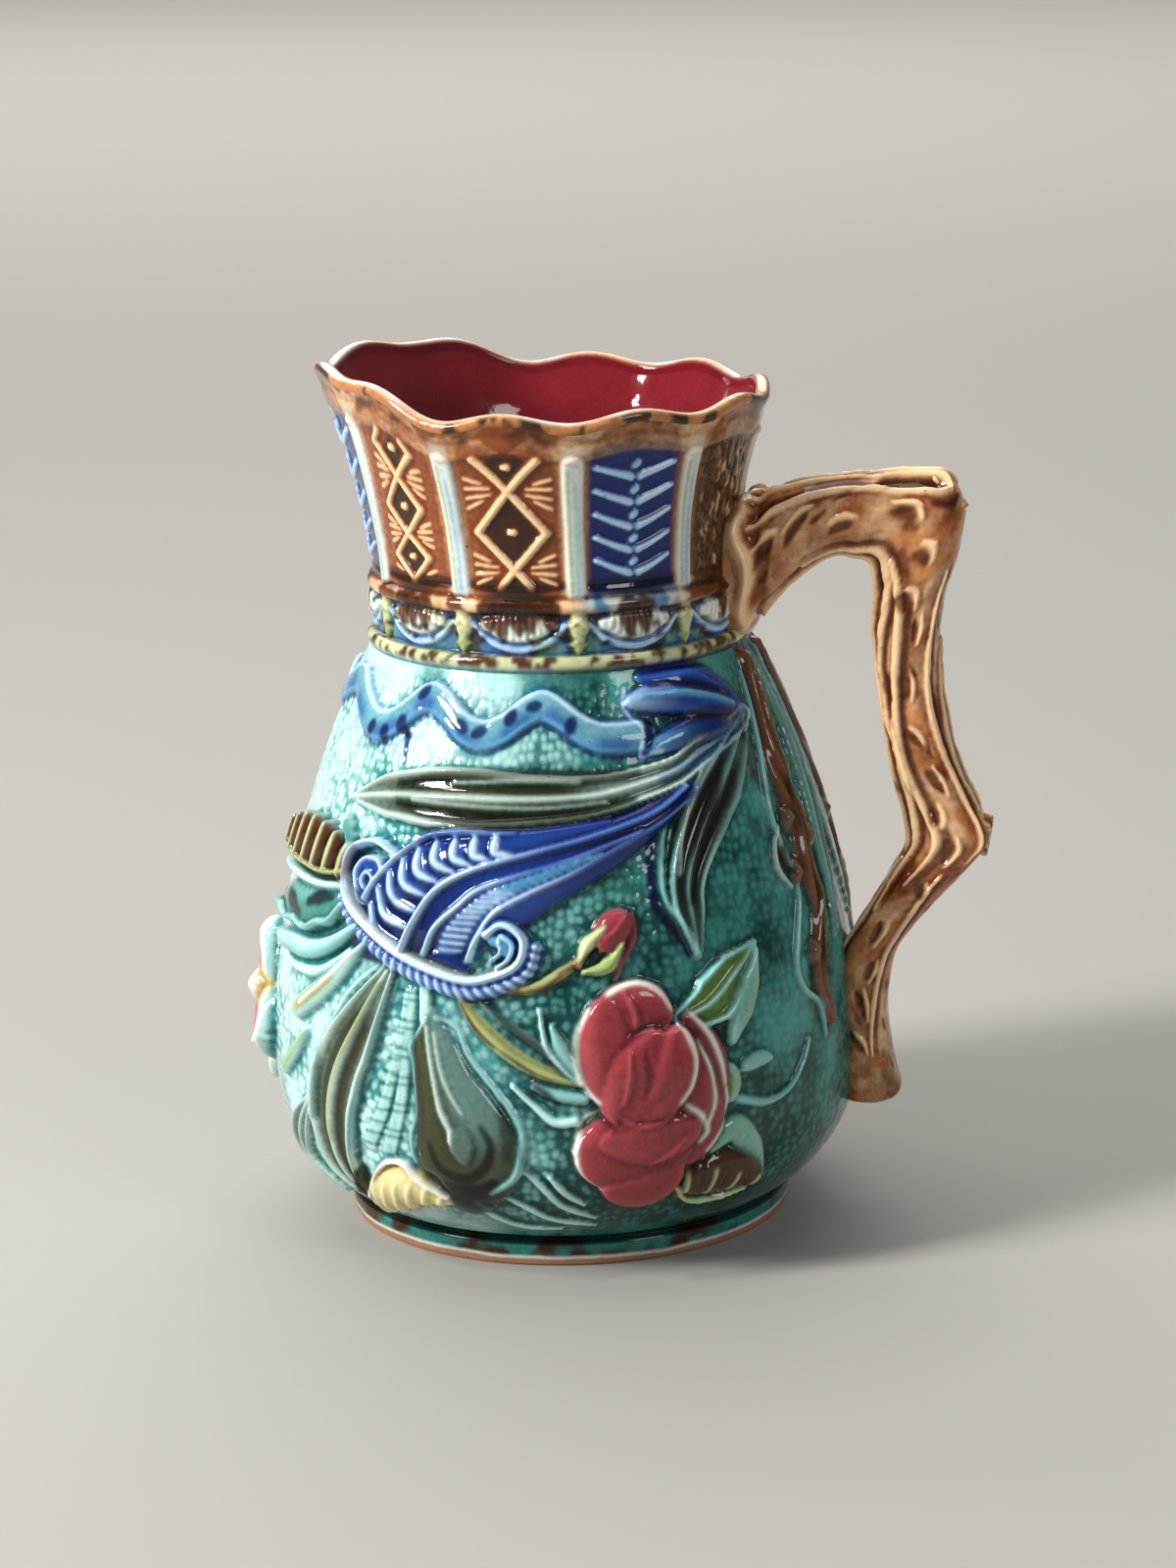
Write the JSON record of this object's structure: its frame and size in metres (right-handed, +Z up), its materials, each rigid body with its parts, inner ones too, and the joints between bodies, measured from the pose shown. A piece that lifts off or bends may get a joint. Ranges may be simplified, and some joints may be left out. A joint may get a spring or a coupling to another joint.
{
  "type": "majolica pitcher",
  "caption": "Glazed earthenware pitcher with a pear-shaped belly, flared panelled neck, scalloped spout, branch handle and flowers, leaves and a shell in relief.",
  "frame": {"origin": "under the middle of the overall box, on the surface the foot stands on", "axes": "+Z up through the neck, +X towards the handle, -X towards the spout, -Y towards the side that the picture shows"},
  "size_m": [0.191, 0.1548, 0.216],
  "materials": {
    "glazed_earthenware": "glossy translucent lead glazes, turquoise ground with blue, brown, green and crimson relief, crimson inside"
  },
  "bodies": {
    "root": {"pitcher": "glazed_earthenware"}
  },
  "joints": []
}
